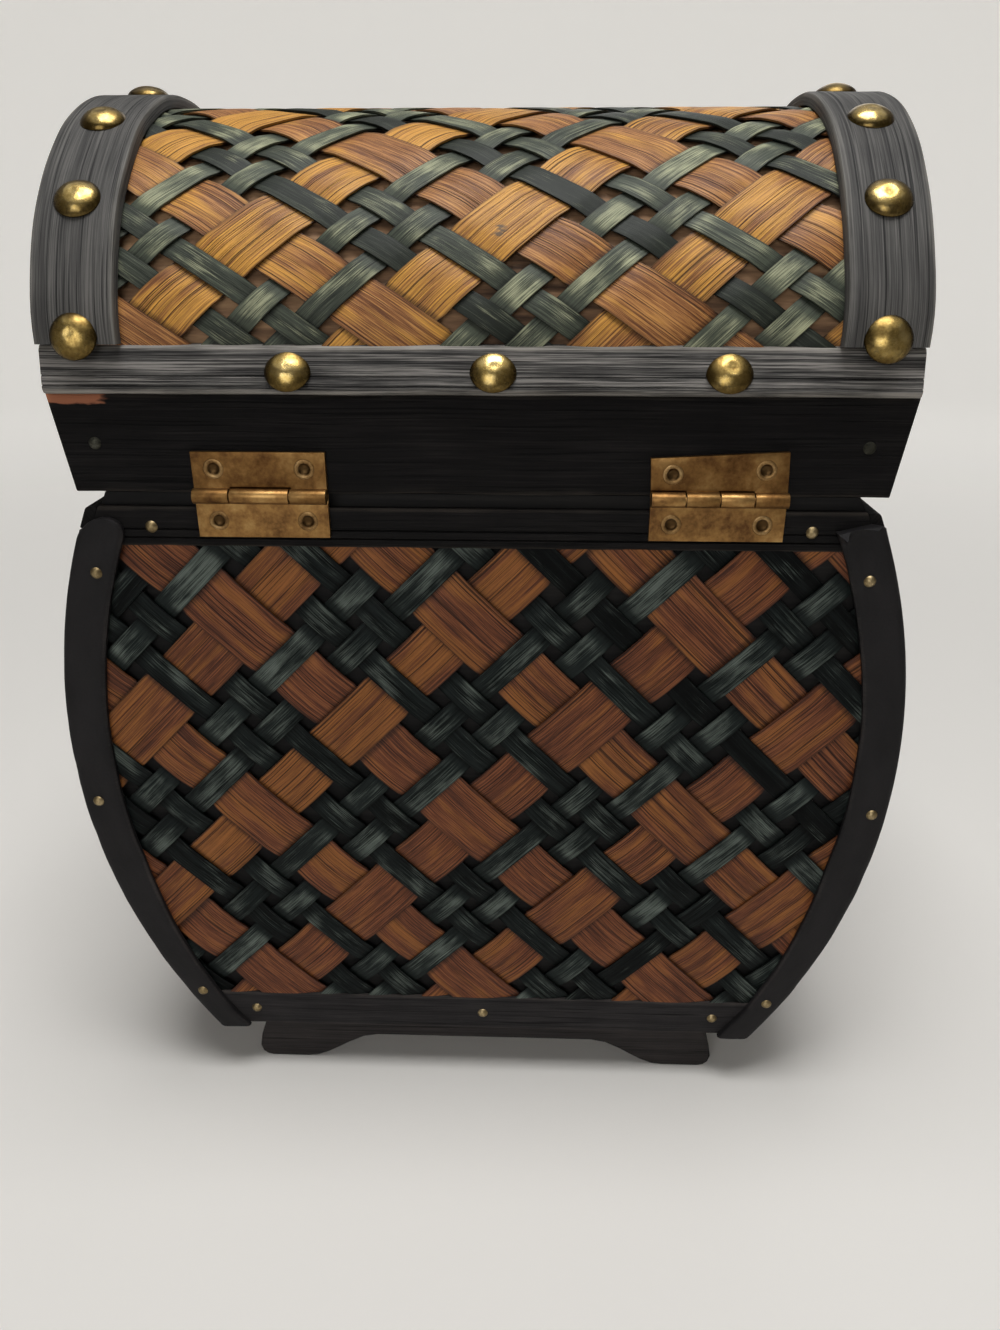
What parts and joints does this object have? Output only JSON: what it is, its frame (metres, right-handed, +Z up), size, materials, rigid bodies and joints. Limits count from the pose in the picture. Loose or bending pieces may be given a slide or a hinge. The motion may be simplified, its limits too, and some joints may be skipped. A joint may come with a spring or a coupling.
{
  "type": "woven keepsake chest",
  "caption": "Small bow-sided chest covered in diagonal split-bamboo weave, with a domed lid on back hinges, dark wood rails and straps, and brass dome nails.",
  "frame": {"origin": "middle of the footprint, on the table under the feet", "axes": "+Z up; -Y is the front, +Y the back with the hinges; X along the chest's width"},
  "size_m": [0.1752, 0.115, 0.2202],
  "materials": {
    "bamboo_weave": "split bamboo, satin, streaky brown and dark green",
    "edge_leather": "black, dull sheen, worn",
    "nail_brass": "aged, softly polished domes",
    "brad_brass": "small worn heads",
    "hinge_brass": "dull leaves with brighter knuckles",
    "grey_wood": "weathered grey-black, fine grain along the length",
    "black_wood": "near-black stain, dull",
    "tan_backing": "plain tan sheet",
    "foot_wood": "dark stain, dull",
    "board_wood": "black stain, dull"
  },
  "bodies": {
    "body": {"bottom_board": "board_wood", "back_board": "board_wood", "front_board": "board_wood", "left_end_board": "board_wood", "right_end_board": "board_wood", "back_weave": "bamboo_weave", "front_weave": "bamboo_weave", "left_end_weave": "bamboo_weave", "right_end_weave": "bamboo_weave", "back_top_rail": "black_wood", "front_top_rail": "black_wood", "left_top_rail": "black_wood", "right_top_rail": "black_wood", "back_low_rail": "black_wood", "front_low_rail": "black_wood", "left_low_rail": "black_wood", "right_low_rail": "black_wood", "back_left_strip": "edge_leather", "back_right_strip": "edge_leather", "front_left_strip": "edge_leather", "front_right_strip": "edge_leather", "back_foot_board": "foot_wood", "front_foot_board": "foot_wood", "back_brads": "brad_brass", "front_brads": "brad_brass", "left_lower_leaf": "hinge_brass", "right_lower_leaf": "hinge_brass", "lower_screws": "hinge_brass"},
    "lid": {"back_rim": "black_wood", "front_rim": "black_wood", "left_rim": "black_wood", "right_rim": "black_wood", "rim_brads": "brad_brass", "left_gable": "tan_backing", "right_gable": "tan_backing", "dome_shell": "tan_backing", "dome_weave": "bamboo_weave", "left_gable_weave": "bamboo_weave", "right_gable_weave": "bamboo_weave", "left_strap": "grey_wood", "right_strap": "grey_wood", "left_trim": "grey_wood", "right_trim": "grey_wood", "back_lid_rail": "grey_wood", "front_lid_rail": "grey_wood", "left_lid_rail": "grey_wood", "right_lid_rail": "grey_wood", "rail_nails": "nail_brass", "strap_nails": "nail_brass", "gable_nails": "nail_brass", "left_upper_leaf": "hinge_brass", "right_upper_leaf": "hinge_brass", "left_pin": "hinge_brass", "right_pin": "hinge_brass", "upper_screws": "hinge_brass"}
  },
  "joints": [
    {"name": "lid_hinge", "type": "hinge", "parent": "body", "child": "lid", "pos_m": [0, 0.0538, 0.1457], "axis": [-1, 0, 0], "range_deg": [0, 165]}
  ]
}
